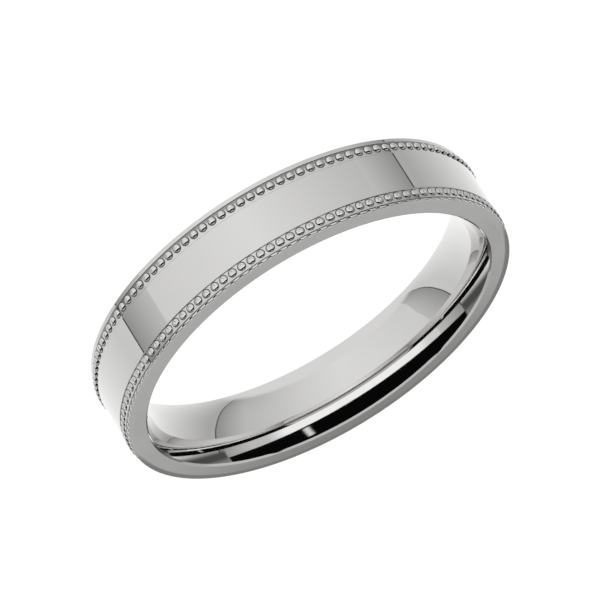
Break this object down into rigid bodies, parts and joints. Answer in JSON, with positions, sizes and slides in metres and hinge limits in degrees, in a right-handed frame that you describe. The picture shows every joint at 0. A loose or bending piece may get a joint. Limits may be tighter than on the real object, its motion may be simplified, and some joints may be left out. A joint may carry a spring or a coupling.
{
  "type": "wedding band",
  "caption": "Polished comfort-fit finger ring: flat mirror centre band between two sunk rows of round milgrain beads, thin edge rails, curved bore.",
  "frame": {"origin": "centre of the bore at mid-width", "axes": "+Z along the finger axis; +X and +Y across the ring, which is the same all the way round"},
  "size_m": [0.0216, 0.0216, 0.004],
  "materials": {
    "polished_sleeve": "polished",
    "mirror_band": "polished",
    "milgrain": "polished",
    "edge_rail": "polished"
  },
  "bodies": {
    "root": {"comfort_fit_sleeve": "polished_sleeve", "centre_band": "mirror_band", "upper_milgrain_wire": "milgrain", "lower_milgrain_wire": "milgrain", "upper_edge_rail": "edge_rail", "lower_edge_rail": "edge_rail"}
  },
  "joints": []
}
